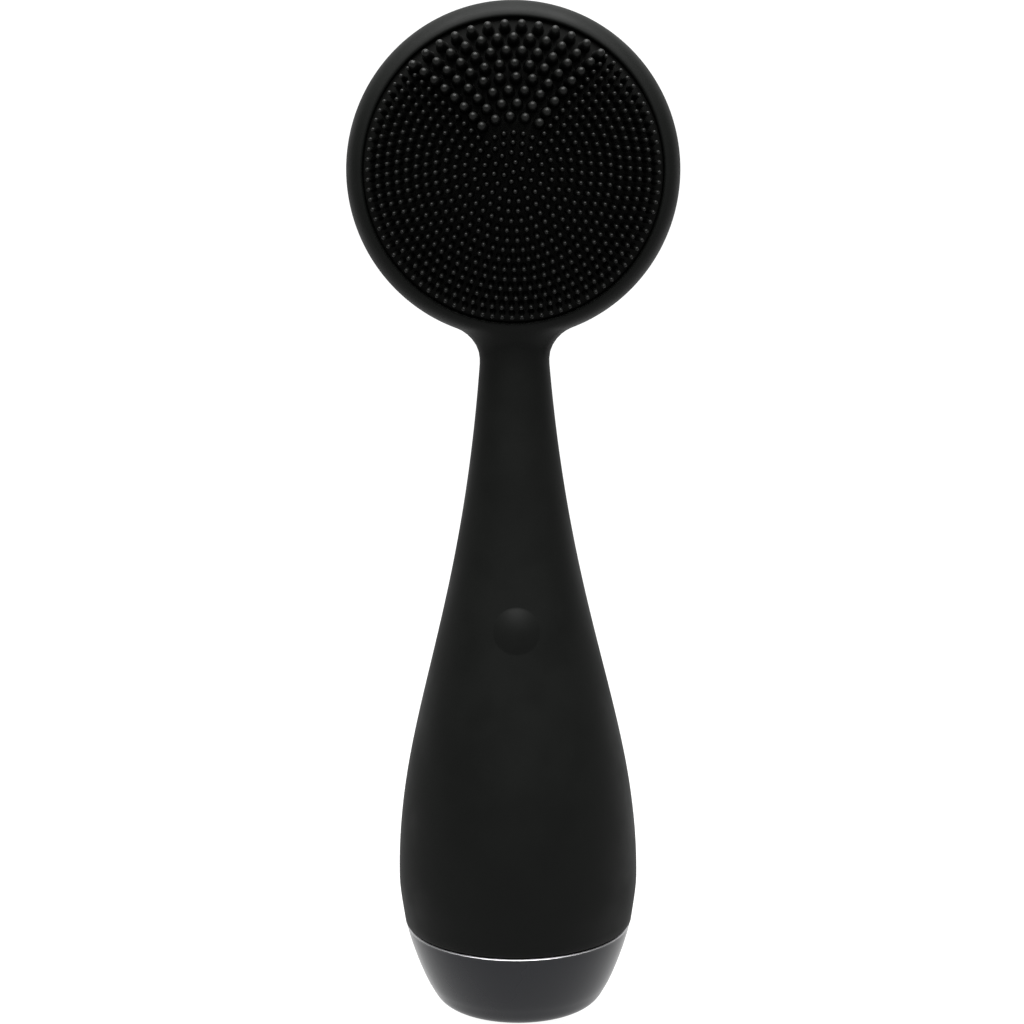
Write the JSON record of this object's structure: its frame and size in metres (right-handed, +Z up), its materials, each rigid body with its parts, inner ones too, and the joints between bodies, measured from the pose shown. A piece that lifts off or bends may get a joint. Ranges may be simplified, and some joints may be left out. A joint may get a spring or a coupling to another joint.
{
  "type": "skin scrubber",
  "caption": "Battery powered face brush: bowling-pin handle in a silicone skin, round bristle head with a vibration motor, push button and a screw-off lower cap that is its foot.",
  "frame": {"origin": "centre of the flat foot under the lower cap", "axes": "+Z up the handle, -Y out of the bristle face, +X to the right as seen from the bristles"},
  "size_m": [0.057, 0.0428, 0.1771],
  "materials": {
    "skin": "matte",
    "pad": "satin",
    "white_plastic": "matte",
    "grey_plastic": "matte",
    "steel": "satin",
    "contact_metal": "satin",
    "board": "satin",
    "black_plastic": "satin",
    "red_plastic": "satin",
    "ceramic": "matte",
    "cell_wrap": "gloss",
    "magnet": "matte",
    "weight": "satin",
    "copper": "satin",
    "boot_rubber": "matte",
    "seal_rubber": "satin",
    "cap_gloss": "gloss"
  },
  "bodies": {
    "housing": {"silicone_sleeve": "skin", "brush_pad": "pad", "front_shell": "white_plastic", "rear_shell": "white_plastic", "battery_tube": "white_plastic", "motor_end_cap": "white_plastic", "pad_backing_plate": "grey_plastic", "threaded_collar": "grey_plastic", "switch_body": "grey_plastic", "shell_screws": "steel", "board_screws": "steel", "motor_can": "steel", "positive_contact": "contact_metal", "negative_strip": "contact_metal", "motor_terminals": "contact_metal", "circuit_board": "board", "controller_chip": "black_plastic", "boost_coil": "black_plastic", "battery_wire_black": "black_plastic", "motor_wire_black": "black_plastic", "battery_wire_red": "red_plastic", "motor_wire_red": "red_plastic", "filter_capacitor": "ceramic", "motor_magnets": "magnet", "motor_boot": "boot_rubber"},
    "button": {"button_cap": "skin"},
    "switch_plunger": {"switch_stem": "black_plastic"},
    "rotor": {"motor_shaft": "steel", "motor_armature": "copper", "eccentric_weight": "weight"},
    "cell": {"battery_cell": "cell_wrap"},
    "cap": {"cap_shell": "cap_gloss", "cap_plug": "grey_plastic", "cap_o_ring": "seal_rubber", "cap_contact": "contact_metal", "contact_spring": "steel"}
  },
  "joints": [
    {"name": "button_press", "type": "slide", "parent": "housing", "child": "button", "axis": [0, 0.9733, -0.2296], "range_m": [0, 0.0004], "stiffness_N_per_m": 1500, "springref_m": -0.0001},
    {"name": "switch_press", "type": "slide", "parent": "housing", "child": "switch_plunger", "axis": [0, 0.9733, -0.2296], "range_m": [0, 0.0004]},
    {"name": "motor_spin", "type": "hinge", "parent": "housing", "child": "rotor", "pos_m": [0, 0.0016, 0.15], "axis": [0, 0, 1], "continuous": true},
    {"name": "cap_drop", "type": "slide", "parent": "housing", "child": "cell", "axis": [0, 0, -1], "range_m": [0, 0.0091]},
    {"name": "cap_twist", "type": "hinge", "parent": "cell", "child": "cap", "pos_m": [0, 0, 0.01], "axis": [0, 0, -1], "range_deg": [0, 540]}
  ],
  "couplings": [
    {"joint": "switch_press", "follows": "button_press", "ratio": 1},
    {"joint": "cap_drop", "follows": "cap_twist", "m_per_rad": 0.00095493}
  ]
}
